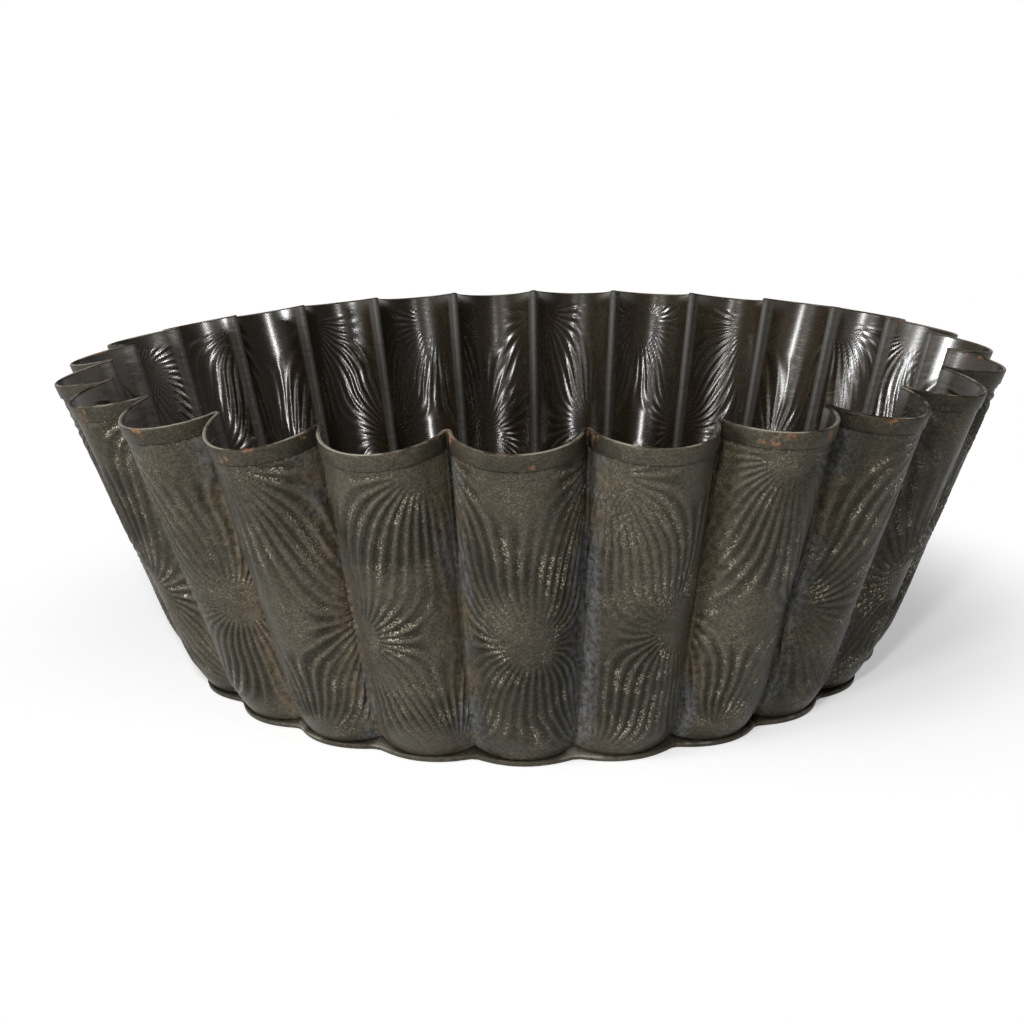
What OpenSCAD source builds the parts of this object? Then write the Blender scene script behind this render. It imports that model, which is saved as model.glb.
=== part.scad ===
// Fluted brioche mould: a strip of sheet pleated into flutes, bound at the rim and folded into a flat base.
// Millimetres. The underside of the base is at z = 0, its centre is the origin, and one flute faces -Y.

/* [Overall size] */
// Diameter over the flutes at the rim, outside the hem
rim_d = 240; // [220:1:300]
// Diameter over the flutes where the straight wall would meet the foot
foot_d = 188.6; // [160:0.2:200]
// Height to the tips of the folds at the rim
mould_h = 78; // [50:1:110]

/* [Flutes] */
// Number of flutes round the wall
flutes = 25; // [18:1:28]
// Depth of a flute at the rim, from the fold's tip to the crown
rim_depth = 13.4; // [8:0.2:18]
// Depth of a flute at the foot
foot_depth = 5; // [3:0.2:7]
// Shape of a crown at the rim: 1 is half an ellipse, and more is slimmer beside the folds
crown_shape = 1.5; // [1:0.1:2]
// How far the crowns of the rim lie below its folds
crown_drop = 2.5; // [0:0.1:4]
// Radius of the tight folds at the rim, to the middle of the sheet
fold_r = 0.8; // [0.75:0.05:1.2]

/* [Sheet] */
// Thickness of the sheet in every piece
sheet_t = 0.4; // [0.25:0.01:0.42]
// Clearance between folded layers
fold_gap = 0.05; // [0.02:0.01:0.08]

/* [Rim hem] */
// Depth of the hem, measured down the wall
hem_h = 3.4; // [2:0.1:8]

/* [Foot] */
// How far the wall rounds in above the base
turn_in = 2.4; // [0.4:0.1:4]
// Height over which the wall rounds in
turn_h = 12; // [4:0.1:14]
// Width of the base's ledge outside a crown
ledge_crown = 0.7; // [0.6:0.1:2]
// Width of the base's ledge outside a fold
ledge_fold = 3; // [1:0.1:4]

/* [Side seam] */
// Flute that carries the side seam, counted from the front towards -X
seam_flute = 2; // [0:1:12]
// Rows of the sheet's outline between the fold and the seam
seam_start = 3; // [2:1:5]
// Width of the seam, in rows of the sheet's outline
seam_rows = 1; // [1:1:2]

/* [Hidden] */
tin_dark = [0.23, 0.21, 0.19];
tin_hem = [0.30, 0.27, 0.24];
tin_base = [0.27, 0.25, 0.23];
tin_seam = [0.34, 0.31, 0.28];
front_angle = -90;
pitch = 360 / flutes;
fold_steps = 2;                    // facets in each quarter of a fold
crown_steps = 10;                  // facets in the round of a crown
turn_steps = 3;                    // facets in the height of the round at the foot
rows = 2 * fold_steps + crown_steps;
half_t = sheet_t / 2;
layer = sheet_t + fold_gap;
flange_z = layer;                  // underside of the wall's flange
lip_z = 2 * layer;                 // underside of the base's folded lip
foot_z = lip_z + sheet_t;          // top of the folded foot seam
rim_z = mould_h - layer;           // top edge of the wall at the folds
band_off = half_t + fold_gap;      // from the middle of the wall to whatever lies on it
rim_crown_r = rim_d / 2 - band_off - sheet_t;
rim_fold_r = rim_d / 2 - rim_depth + half_t;
foot_crown_r = foot_d / 2 - half_t;
foot_fold_r = foot_crown_r - foot_depth;
flare_run = rim_crown_r - foot_crown_r;
wall_slant = norm([flare_run, rim_z - foot_z]);
turn_s = turn_h / (rim_z - foot_z);
turn_stations = [for (k = [1 : turn_steps]) turn_s * k / turn_steps];
hem_s = 1 - hem_h / wall_slant;

// Place of row i in its flute: angle from the crown's centre, and share of the flute's depth.
function fold_half_angle() = fold_r / rim_fold_r * 180 / PI;
function row_angle(i) =
    i <= fold_steps ? -pitch / 2 + fold_half_angle() * sin(90 * i / fold_steps)
    : i >= rows - fold_steps ? -row_angle(rows - i)
    : -(pitch / 2 - fold_half_angle()) * cos(180 * (i - fold_steps) / crown_steps);
function crown_share(i) = 1 - pow(abs(row_angle(i)) / (pitch / 2), 2);

// Rim outline: a quarter round of the tight fold, then a crown between half an ellipse and a pointed arch.
function rim_radius(i) =
    i <= fold_steps ? rim_fold_r + fold_r * (1 - cos(90 * i / fold_steps))
    : i >= rows - fold_steps ? rim_radius(rows - i)
    : rim_fold_r + fold_r
      + (rim_crown_r - rim_fold_r - fold_r) * pow(sin(180 * (i - fold_steps) / crown_steps), crown_shape);
// Foot outline: a shallow arch between sharp creases.
function foot_radius(i) = foot_fold_r + foot_depth * crown_share(i);
function drop_at(i) = crown_drop * (rim_radius(i) - rim_fold_r) / (rim_crown_r - rim_fold_r);

function polar(r, a) = [r * cos(a), r * sin(a)];
function rim_xy(i) = i < 0 ? polar(rim_radius(i + rows), row_angle(i + rows) - pitch)
    : i >= rows ? polar(rim_radius(i - rows), row_angle(i - rows) + pitch)
    : polar(rim_radius(i), row_angle(i));
function foot_xy(i) = i < 0 ? polar(foot_radius(i + rows), row_angle(i + rows) - pitch)
    : i >= rows ? polar(foot_radius(i - rows), row_angle(i - rows) + pitch)
    : polar(foot_radius(i), row_angle(i));

// Outward mitre at a corner of an outline: one unit of offset along it moves both edges by one unit.
function edge_normal(a, b) = let (d = (b - a) / norm(b - a)) [d.y, -d.x];
function mitre(a, b, c) = let (m = edge_normal(a, b), n = edge_normal(b, c)) (m + n) / (1 + m * n);
rim_mitre = [for (i = [0 : rows - 1]) mitre(rim_xy(i - 1), rim_xy(i), rim_xy(i + 1))];
foot_mitre = [for (i = [0 : rows - 1]) mitre(foot_xy(i - 1), foot_xy(i), foot_xy(i + 1))];

function turned(p, a) = [p.x * cos(a) - p.y * sin(a), p.x * sin(a) + p.y * cos(a)];
function flute_angle(j) = front_angle + pitch * floor(j / rows);
function inset_at(s) = turn_in * pow(max(0, 1 - s / turn_s), 2);

// A point of the sheet: row j round the mould, share s of the height, and offset off outwards.
function foot_point(i, off, inset) =
    let (p = foot_xy(i) + off * foot_mitre[i]) p * (1 - inset / norm(p));
function sheet_xy(j, s, off) =
    let (i = j % rows,
         low = foot_point(i, off, inset_at(s)),
         high = rim_xy(i) + off * rim_mitre[i])
    turned(low + (high - low) * s, flute_angle(j));
function sheet_z(j, s) = foot_z + (rim_z - drop_at(j % rows) - foot_z) * s;
function sheet_point(j, s, off, lift = 0) = let (p = sheet_xy(j, s, off)) [p.x, p.y, sheet_z(j, s) + lift];
function at_z(p, z) = [p.x, p.y, z];
function reversed(list) = [for (k = [len(list) - 1 : -1 : 0]) list[k]];

// Outline of the base, a ledge outside the wall's foot, drawn in by an inset.
function ledge(i) = ledge_fold + (ledge_crown - ledge_fold) * crown_share(i);
function base_xy(j, inset) =
    let (i = j % rows, p = foot_point(i, half_t, turn_in), r = norm(p) + ledge(i) - inset)
    turned(p * (r / norm(p)), flute_angle(j));

// Closed band swept round the mould from a cross-section of m points in each row.
all_rows = [0 : flutes * rows - 1];
function band_faces(n, m) = [for (j = [0 : n - 1], k = [0 : m - 1])
    let (a = j * m + k, b = j * m + (k + 1) % m, c = (j + 1) % n * m + (k + 1) % m, d = (j + 1) % n * m + k)
    each [[a, b, c], [a, c, d]]];
module swept_band(sections) {
    polyhedron(points = [for (s = sections) each s],
        faces = band_faces(len(sections), len(sections[0])), convexity = 10);
}

// Pleated strip of the side wall, with a flange turned out at its foot.
function wall_section(j) = [
    at_z(base_xy(j, layer), flange_z),
    at_z(base_xy(j, layer), flange_z + sheet_t),
    at_z(sheet_xy(j, 0, half_t), flange_z + sheet_t),
    for (s = [0, each turn_stations, 1]) sheet_point(j, s, half_t),
    for (s = [1, each reversed(turn_stations), 0]) sheet_point(j, s, -half_t),
    at_z(sheet_xy(j, 0, -half_t), flange_z)];
module pleated_wall() {
    color(tin_dark) swept_band([for (j = all_rows) wall_section(j)]);
}

// Plain binding of the rim: a band outside the wall, its top turned in over the wall's edge.
function hem_section(j) = [
    sheet_point(j, hem_s, band_off),
    sheet_point(j, hem_s, band_off + sheet_t),
    sheet_point(j, 1, band_off + sheet_t, fold_gap + half_t),
    sheet_point(j, 1, band_off + half_t, layer),
    sheet_point(j, 1, -half_t, layer),
    sheet_point(j, 1, -half_t, fold_gap),
    sheet_point(j, 1, band_off, fold_gap)];
module rim_hem() {
    color(tin_hem) swept_band([for (j = all_rows) hem_section(j)]);
}

// Flat base whose edge folds up and in over the wall's flange.
module base_outline(inset) {
    polygon([for (j = all_rows) base_xy(j, inset)]);
}
module base_plate() {
    color(tin_base) {
        linear_extrude(sheet_t) base_outline(0);
        linear_extrude(foot_z) difference() {
            base_outline(0);
            base_outline(sheet_t);
        }
        translate([0, 0, lip_z]) linear_extrude(sheet_t) difference() {
            base_outline(0);
            polygon([for (j = all_rows) sheet_xy(j, 0, band_off)]);
        }
    }
}

// Lapped end of the strip, a narrow band down the flank of one flute from the hem to the foot.
seam_first = (flutes - seam_flute) * rows + seam_start;
seam_stations = [fold_gap / wall_slant, each turn_stations, hem_s - fold_gap / wall_slant];
function seam_ring(s) = [
    for (r = [0 : seam_rows]) sheet_point(seam_first + r, s, band_off),
    for (r = [seam_rows : -1 : 0]) sheet_point(seam_first + r, s, band_off + sheet_t)];
module side_seam() {
    rings = [for (s = seam_stations) seam_ring(s)];
    m = len(rings[0]);
    n = len(rings);
    sides = [for (j = [0 : n - 2], k = [0 : m - 1])
        let (a = j * m + k, b = j * m + (k + 1) % m, c = (j + 1) * m + (k + 1) % m, d = (j + 1) * m + k)
        each [[a, c, b], [a, d, c]]];
    ends = [for (r = [0 : seam_rows - 1])
        let (p = r, q = r + 1, v = m - 1 - r, u = m - 2 - r, top = (n - 1) * m)
        each [[p, q, u], [p, u, v], [top + p, top + u, top + q], [top + p, top + v, top + u]]];
    color(tin_seam) polyhedron(points = [for (r = rings) each r], faces = concat(sides, ends));
}

pleated_wall();
rim_hem();
base_plate();
side_seam();
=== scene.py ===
# %% [markdown]
# # A fluted brioche mould in old tinned sheet
# The mould is made of four pieces of thin sheet: a strip pleated into 25 flutes and pressed all over with
# radiating reeds, a plain hem that binds its rim, a narrow lap where the strip's ends meet, and a flat base
# whose edge is folded over the foot of the strip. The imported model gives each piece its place. Here every
# piece is made again as a fine surface, so that the pressed reeds and the rolled edges are real geometry.

import bpy
import numpy as np
from mathutils import Matrix, Vector


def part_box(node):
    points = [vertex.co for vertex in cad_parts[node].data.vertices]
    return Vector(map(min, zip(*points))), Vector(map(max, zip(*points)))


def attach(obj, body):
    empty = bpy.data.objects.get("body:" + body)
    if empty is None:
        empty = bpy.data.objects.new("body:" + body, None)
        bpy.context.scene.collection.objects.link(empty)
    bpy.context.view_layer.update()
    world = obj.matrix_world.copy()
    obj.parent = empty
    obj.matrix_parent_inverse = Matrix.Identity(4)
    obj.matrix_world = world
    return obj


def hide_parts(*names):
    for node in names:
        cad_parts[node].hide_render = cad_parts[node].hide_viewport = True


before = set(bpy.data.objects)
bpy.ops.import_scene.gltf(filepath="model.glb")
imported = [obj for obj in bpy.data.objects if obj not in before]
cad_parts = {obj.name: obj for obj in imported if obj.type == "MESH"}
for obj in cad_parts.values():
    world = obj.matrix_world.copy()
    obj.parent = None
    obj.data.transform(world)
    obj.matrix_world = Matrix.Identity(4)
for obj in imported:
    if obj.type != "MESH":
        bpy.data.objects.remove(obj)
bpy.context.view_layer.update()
MM = 0.001
print("frame nodes:", sorted(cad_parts))

# %% [markdown]
# ## The camera
# A view is matched best when the camera stands where the photographer's stood, because the near flutes of
# a round object then grow and the far ones shrink by the right amount. The distance, height and lens here
# come from fitting a round rim with 25 evenly spaced folds to the folds seen in the photograph.

# %% Camera
CAMERA_DISTANCE = 379.1 * MM  # from the centre of the rim
CAMERA_HEIGHT_ANGLE = 9.06  # degrees above the plane of the rim
CAMERA_DIP = 6.83  # degrees that the view looks below the rim's centre
CAMERA_YAW = -0.76  # degrees that the view looks to the left of it
CAMERA_ROLL = -1.12  # degrees
CAMERA_TURN = 1.235  # degrees round the mould, from facing a flute squarely
CAMERA_LENS = 50.2  # millimetres, on a sensor 36 mm wide
RIM_CENTRE_Z = 78.0 * MM


def unit(v):
    """A vector divided by its own length."""
    return v / np.linalg.norm(v)


def turn_about_z(v, degrees):
    """A vector turned round the upright axis."""
    c, s = np.cos(np.radians(degrees)), np.sin(np.radians(degrees))
    return np.array([c * v[0] - s * v[1], s * v[0] + c * v[1], v[2]])


def add_camera():
    """Forward, right and up axes from the dip and yaw, then rolled, then turned with the camera's place."""
    rise, dip = np.radians(CAMERA_HEIGHT_ANGLE), np.radians(CAMERA_HEIGHT_ANGLE + CAMERA_DIP)
    yaw, roll = np.radians(CAMERA_YAW), np.radians(CAMERA_ROLL)
    place = CAMERA_DISTANCE * np.array([0, -np.cos(rise), np.sin(rise)]) + [0, 0, RIM_CENTRE_Z]
    forward = np.array([np.sin(yaw) * np.cos(dip), np.cos(yaw) * np.cos(dip), -np.sin(dip)])
    right = unit(np.cross(forward, [0, 0, 1]))
    up = np.cross(right, forward)
    right, up = np.cos(roll) * right + np.sin(roll) * up, np.cos(roll) * up - np.sin(roll) * right
    place, forward, right, up = (turn_about_z(v, CAMERA_TURN) for v in (place, forward, right, up))
    data = bpy.data.cameras.new("camera")
    data.lens, data.sensor_width, data.sensor_fit = CAMERA_LENS, 36, "HORIZONTAL"
    data.clip_start, data.clip_end = 0.01, 50
    camera = bpy.data.objects.new("camera", data)
    axes = np.column_stack([right, up, -forward, place])
    camera.matrix_world = Matrix(np.vstack([axes, [0, 0, 0, 1]]).tolist())
    bpy.context.scene.collection.objects.link(camera)
    bpy.context.scene.camera = camera
    return camera


camera = add_camera()
print("camera at", [round(v, 4) for v in camera.matrix_world.translation])

# %% [markdown]
# ## The sheet and its outline
# All four pieces follow one outline, so it is worked out once. Seen from above, a flute at the rim is a deep
# crown between two tight round folds, and at the foot it is a shallow arch between two narrow creases.
# The wall is ruled: each of its lines runs straight from the foot outline to the rim outline, and only the
# last few millimetres above the base round inwards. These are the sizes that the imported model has.

# %% Sizes of the mould
RIM_D = 240 * MM  # over the crowns of the flutes, outside the hem
FOOT_D = 188.6 * MM  # over the crowns, where the straight wall would meet the foot
MOULD_H = 78 * MM
FLUTES = 25
RIM_DEPTH = 13.4 * MM  # depth of a flute at the rim
FOOT_DEPTH = 5 * MM
CROWN_DROP = 2.5 * MM  # how far the rim's crowns lie below its folds
CROWN_SHAPE = 1.5  # 1 makes a crown at the rim half an ellipse, and more makes it slimmer by the folds
FOLD_R = 0.95 * MM
SHEET = 0.4 * MM
GAP = 0.05 * MM
HEM_H = 3.4 * MM
TURN_IN = 2.4 * MM  # how far the wall rounds in above the base
TURN_H = 12 * MM
LEDGE_CROWN = 0.7 * MM  # width of the base's ledge outside a crown
LEDGE_FOLD = 3 * MM  # and outside a fold
LAYER = SHEET + GAP
FOOT_Z = 2 * LAYER + SHEET
RIM_Z = MOULD_H - LAYER
BAND_OFF = SHEET / 2 + GAP
RIM_CROWN_R = RIM_D / 2 - BAND_OFF - SHEET
RIM_FOLD_R = RIM_D / 2 - RIM_DEPTH + SHEET / 2
FOOT_CROWN_R = FOOT_D / 2 - SHEET / 2
FOOT_FOLD_R = FOOT_CROWN_R - FOOT_DEPTH
PITCH = 2 * np.pi / FLUTES
WALL_H = RIM_Z - FOOT_Z
SLANT = np.hypot(RIM_CROWN_R - FOOT_CROWN_R, WALL_H)
TURN_S = TURN_H / WALL_H
HEM_S = 1 - HEM_H / SLANT
rim_low, rim_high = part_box("rim_hem")
print("hem in the frame, mm:", [round(1000 * v, 2) for v in (*rim_low, *rim_high)])

# %% Outline of one flute, then of all of them
FOLD_STEPS = 3  # columns in each quarter of a fold
CROWN_STEPS = 80  # columns in the round of a crown
COLUMNS = 2 * FOLD_STEPS + CROWN_STEPS
HALF_FOLD = FOLD_R / RIM_FOLD_R


def flute_outline():
    """Angle from the crown's centre and radius at the rim, column by column from one fold to the next: a
    quarter round of the fold, then a crown that rises as the sine to the power CROWN_SHAPE while the angle
    runs as a cosine, and then the fold's first quarter mirrored."""
    quarter = np.arange(FOLD_STEPS) / FOLD_STEPS * np.pi / 2
    half = np.arange(CROWN_STEPS) / CROWN_STEPS * np.pi
    back = np.pi / 2 - quarter
    rise = RIM_CROWN_R - RIM_FOLD_R - FOLD_R
    angle = np.concatenate([-PITCH / 2 + HALF_FOLD * np.sin(quarter), -(PITCH / 2 - HALF_FOLD) * np.cos(half),
                            PITCH / 2 - HALF_FOLD * np.sin(back)])
    radius = np.concatenate([RIM_FOLD_R + FOLD_R * (1 - np.cos(quarter)),
                             RIM_FOLD_R + FOLD_R + rise * np.sin(half) ** CROWN_SHAPE,
                             RIM_FOLD_R + FOLD_R * (1 - np.cos(back))])
    return angle, radius


flute_angle, flute_rim = flute_outline()
crown_share = 1 - (np.abs(flute_angle) / (PITCH / 2)) ** 2
CREASE = 0.15  # how far the creases of the foot outline are rounded, as a share of its depth
foot_share = (np.hypot(crown_share, CREASE) - CREASE) / (np.hypot(1, CREASE) - CREASE)
column_flute = np.repeat(np.arange(FLUTES), COLUMNS)
column_angle = -np.pi / 2 + column_flute * PITCH + np.tile(flute_angle, FLUTES)
column_share = np.tile(crown_share, FLUTES)
column_rim = np.tile(flute_rim, FLUTES)
column_foot = FOOT_FOLD_R + FOOT_DEPTH * np.tile(foot_share, FLUTES)
print(len(column_angle), "columns round the wall")

# %% [markdown]
# Sheet that is pleated by hand is never quite even. Each flute gets its own small share of unevenness: its
# crown lies up to half a millimetre inside the full size, its folds stand a little to one side, and its
# edge rises or falls, by a row of numbers that starts at the front flute. The same outline then serves the
# wall, the hem and the lap, so they stay together. The other numbers are random but seeded, so that they
# come out the same each time.

# %% Small unevenness of the pleating
CROWN_IN, FOLD_IN = (0.1, 0.6), (0, 0.5)  # millimetres that crowns and folds lie inside the full size
FOLD_ASIDE = -0.12, 0.12  # hundredths of a radian that a fold stands to one side
LEDGE_MORE = -0.7, 0.3  # millimetres that the base's ledge is wider at a fold
# Tenths of a millimetre that each crown of the rim lies lower, from the front flute on.
CROWN_LOW = -6, -6, -10, 2, 3, -2, 1, 4, 2, -1, 3, 0, 2, 4, 1, -2, 3, 1, 0, 3, 4, 2, 5, 12, 0
rng = np.random.default_rng(25)
crown_in = rng.uniform(*CROWN_IN, FLUTES) * MM
fold_in = rng.uniform(*FOLD_IN, FLUTES) * MM
fold_aside = rng.uniform(*FOLD_ASIDE, FLUTES) / 100
crown_low = np.array(CROWN_LOW) / 10 * MM
ledge_more = rng.uniform(*LEDGE_MORE, FLUTES) * MM


def between_folds(values):
    """One value for each fold, run smoothly from fold to fold over the columns of a flute."""
    t = (column_angle - (-np.pi / 2 + column_flute * PITCH)) / PITCH + 0.5
    ease = t * t * (3 - 2 * t)
    return values[column_flute] * (1 - ease) + values[(column_flute + 1) % FLUTES] * ease


rise_to_crown = (column_rim - RIM_FOLD_R) / (RIM_CROWN_R - RIM_FOLD_R)
column_drop = (CROWN_DROP + crown_low[column_flute]) * rise_to_crown
column_rim = column_rim - crown_in[column_flute] * rise_to_crown
column_rim = column_rim - between_folds(fold_in) * (1 - rise_to_crown)
rim_angle = column_angle + between_folds(fold_aside)
print("crowns lie inside the full size by", np.round(1000 * crown_in[:4], 2), "mm and so on")

# %% Points of the sheet


def outline_points(radius, angle):
    """Points in the plane from radius and angle."""
    return np.stack([radius * np.cos(angle), radius * np.sin(angle)], -1)


def outline_normals(points):
    """Unit outward normals of a closed outline: the step from the last point to the next one, turned by a
    quarter turn."""
    step = np.roll(points, -1, 0) - np.roll(points, 1, 0)
    normal = np.stack([step[:, 1], -step[:, 0]], -1)
    return normal / np.linalg.norm(normal, axis=1, keepdims=True)


rim_line = outline_points(column_rim, rim_angle)
foot_line = outline_points(column_foot, column_angle)
rim_normal, foot_normal = outline_normals(rim_line), outline_normals(foot_line)


def sheet_points(s, off=0.0, lift=0.0, columns=slice(None)):
    """Points of the sheet at shares s of the height, shifted by off along the outline's normals: the foot
    point, drawn in by TURN_IN times (1 - s / TURN_S) squared near the base, and the rim point, joined by a
    straight line. The result is an array of rows by columns by 3."""
    s, off, lift = (np.atleast_1d(v)[:, None, None] for v in (s, off, lift))
    low = foot_line[columns] + off * foot_normal[columns]
    inset = TURN_IN * np.maximum(0, 1 - s / TURN_S) ** 2
    low = low * (1 - inset / np.linalg.norm(low, axis=-1, keepdims=True))
    high = rim_line[columns] + off * rim_normal[columns]
    z = FOOT_Z + (WALL_H - column_drop[columns][:, None]) * s + lift
    return np.concatenate([low + (high - low) * s, z], -1)


middle = sheet_points(0.5)[0]
print("flute width at mid height, mm:", round(1000 * np.linalg.norm(middle[COLUMNS] - middle[0]), 1))

# %% [markdown]
# ## The pressed reeds
# The strip was pressed between figured rollers before it was pleated, so the figure runs on across the
# folds. It is a field of bursts: reeds leave each centre in all directions and bend over to meet those of
# the next row, as field lines run between opposite poles. That is also how it is made here. Each centre
# of a staggered lattice turns a phase by one round, one way in even rows and the other way in odd rows,
# and a reed is one wave of that phase. The sheet is laid out flat first, in coordinates that keep angles,
# so that the bursts stay round on the tapered wall.

# %% The sheet laid out flat
ROWS = 172
row_s = np.linspace(0, 1, ROWS)
mid_line = sheet_points(0.5)[0][:, :2]
mid_step = np.linalg.norm(np.roll(mid_line, -1, 0) - mid_line, axis=1)
flat_x = np.concatenate([[0], np.cumsum(mid_step)[:-1]])
FLAT_L = mid_step.sum()
rim_length = np.linalg.norm(np.roll(rim_line, -1, 0) - rim_line, axis=1).sum()
foot_length = np.linalg.norm(np.roll(foot_line, -1, 0) - foot_line, axis=1).sum()
row_scale = (foot_length + (rim_length - foot_length) * row_s) / FLAT_L
flat_y = np.concatenate([[0], np.cumsum(SLANT / (ROWS - 1) / (row_scale[1:] + row_scale[:-1]) * 2)])
print("flat strip, mm:", round(1000 * FLAT_L), "by", round(1000 * flat_y[-1]))

# %% Burst centres and the reeds between them
BURSTS = 19  # centres in a row, round the whole wall
BURST_ROWS = np.array([-36, 1, 38, 76, 113]) * MM
BURST_SHIFT = 4  # millimetres that a centre is shifted at most
ROW_TURN = np.array([0.5, -1, 1, -1, 0.5])  # rounds that the phase turns about a centre
REEDS = 38  # reeds that leave a centre
REED_FINE, REED_CLEAR = 0.6 * MM, 1.2 * MM  # reeds narrower than this are flat, and past it full
REED_WIDE, REED_LOST = 3.2 * MM, 5.5 * MM  # reeds wider than this weaken, and past it are gone


def burst_centres():
    """Places of the centres on the flat sheet, as x + iy: a staggered lattice that begins in the middle of
    the front flute, each centre shifted a little."""
    row, k = np.meshgrid(np.arange(len(BURST_ROWS)), np.arange(BURSTS), indexing="ij")
    x = FLAT_L / FLUTES / 2 + (k + 0.5 * (row % 2)) * FLAT_L / BURSTS
    x = x + rng.uniform(-BURST_SHIFT, BURST_SHIFT, row.shape) * MM
    y = BURST_ROWS[row] + rng.uniform(-BURST_SHIFT, BURST_SHIFT, row.shape) * MM
    return (x + 1j * y).ravel(), ROW_TURN[row].ravel()


def reed_field():
    """Phase of the reeds and the distance between them. The strip is bent into a ring by Z = exp(2 pi i z /
    length), so that it closes on itself. The phase is the sum of the angles of Z - Z_k, and the distance
    comes from the steepness of that sum, the size of the sum of (2 pi / length) Z / (Z - Z_k)."""
    centre, turns = burst_centres()
    ring = np.exp(2j * np.pi * (flat_x[None, :] + 1j * flat_y[:, None]) / FLAT_L)
    spots = np.exp(2j * np.pi * centre / FLAT_L)
    whole, half = np.ones_like(ring), np.ones_like(ring)
    slope = np.zeros_like(ring)
    for spot, turn in zip(spots, turns):
        away = ring - spot
        slope += turn * ring / away
        away /= np.abs(away)
        if abs(turn) < 1:
            half *= away
        else:
            whole *= away if turn > 0 else np.conj(away)
    phase = REEDS * np.angle(whole) + REEDS / 2 * np.angle(half)
    spacing = FLAT_L / (REEDS * np.abs(slope)) * row_scale[:, None]
    return phase, spacing


def smooth(low, high, value):
    """0 below low, 1 above high, and an even curve between them."""
    t = np.clip((value - low) / (high - low), 0, 1)
    return t * t * (3 - 2 * t)


phase, spacing = reed_field()
reed_mask = smooth(REED_FINE, REED_CLEAR, spacing) * (1 - smooth(REED_WIDE, REED_LOST, spacing))
print("reed spacing, mm, at the 10th, 50th and 90th hundredth:",
      np.round(1000 * np.percentile(spacing, [10, 50, 90]), 2))

# %% Height of the reeds
REED_H = 0.23 * MM  # half of the height from trough to crest, where the pressing is strongest
INNER_REED = 0.65  # height of the reeds on the inner side, as a share of the outer side
CREST_SHARP = 0.25  # share of a wave of half the length, which sharpens the crests
FAINTEST = 0.35  # strength of the pressing where it is faintest
RUB_SIZE = 12 * MM  # width of the areas in which the pressing is strong or faint
SWAY_SIZE = 11 * MM  # width of the areas in which reeds sway to one side
SWAY = 1.3  # radians of phase by which they sway
RUB_SEED, SWAY_SEED = 4, 7
WAVES = 14  # waves in the sum that makes such areas
PLAIN_TOP = 1.2 * MM  # height under the hem over which the reeds fade
PLAIN_FOOT = 12 * MM  # and height above the base
OUTER_PLAIN = 0.04, 0.14  # shares of a flute's depth between which they set in beside a fold, outside
INNER_PLAIN = 0.12, 0.24  # and inside
SEAM_FLUTE = FLUTES - 2  # the flute that carries the lapped ends of the strip
SEAM_FROM, SEAM_TO = 0.1, 0.2  # place of the lap in the round of that flute
SEAM_COLUMNS = FOLD_STEPS + np.round(np.array([SEAM_FROM, SEAM_TO]) * CROWN_STEPS).astype(int)
SEAM_CLEAR = 0.01  # radians beside the lap that have no reeds


def soft_areas(size, seed):
    """Smooth noise on the flat sheet, between 0 and 1: waves of random direction and about the given length,
    summed, and cut off at 1.5 times their usual height. Along the strip each has a whole number of waves, so
    that it closes on itself."""
    draw = np.random.default_rng(seed)
    total = np.zeros((ROWS, len(flat_x)))
    for turn, shift in zip(draw.uniform(0, np.pi, WAVES), draw.uniform(0, 2 * np.pi, WAVES)):
        along = np.round(FLAT_L / size * np.cos(turn) / 2) * 2 * np.pi / FLAT_L
        total += np.cos(along * flat_x[None, :] + np.pi / size * np.sin(turn) * flat_y[:, None] + shift)
    return smooth(-1.5, 1.5, total / np.sqrt(WAVES / 2))


def reed_heights():
    """Crests as a cosine of the swayed phase, a little sharper than a wave, weakened by the mask, by the
    soft areas, in the plain margins and under the lap, and last beside the folds. Inside, where the folds
    stand out as ribs, more is left plain."""
    below_hem = HEM_S - row_s[:, None]
    margin = smooth(0, PLAIN_TOP / SLANT, below_hem) * smooth(0, PLAIN_FOOT / SLANT, row_s[:, None])
    lap_from, lap_to = flute_angle[SEAM_COLUMNS]
    along = np.tile(flute_angle, FLUTES)
    near = (column_flute == SEAM_FLUTE) & (along > lap_from - SEAM_CLEAR) & (along < lap_to + SEAM_CLEAR)
    swayed = phase + SWAY * (2 * soft_areas(SWAY_SIZE, SWAY_SEED) - 1)
    crest = np.cos(swayed) + CREST_SHARP * np.cos(2 * swayed)
    strength = FAINTEST + (1 - FAINTEST) * soft_areas(RUB_SIZE, RUB_SEED)
    field = crest * strength * reed_mask * margin * (1 - near[None, :])
    outer = field * smooth(*OUTER_PLAIN, column_share)
    inner = INNER_REED * field * smooth(*INNER_PLAIN, column_share)
    return outer, inner


outer_reed, inner_reed = reed_heights()
print("reeds cover", round(100 * float((np.abs(outer_reed) > 0.3).mean())), "% of the wall")

# %% [markdown]
# ## The pleated wall
# Both skins of the sheet carry the figure, because pressing moves the whole thickness. The sheet's middle
# surface is taken first, its normals are found by comparing neighbours, and each skin lies half a sheet
# to its side with the reeds added. The wall is one strip in the real mould, but a mesh of over a million
# triangles is easier to handle in lengths, so it is cut at the folds into closed pieces of three flutes.
# Normals are taken from the whole wall before cutting, so that no cut shows.

# %% Skins of the wall


def grid_normals(points):
    """Unit normals of a grid that closes on itself sideways: across each point, the step between its side
    neighbours times the step between its upper and lower neighbours."""
    along = np.roll(points, -1, 1) - np.roll(points, 1, 1)
    up = np.gradient(points, axis=0)
    normal = np.cross(along, up)
    return normal / np.linalg.norm(normal, axis=-1, keepdims=True)


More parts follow.
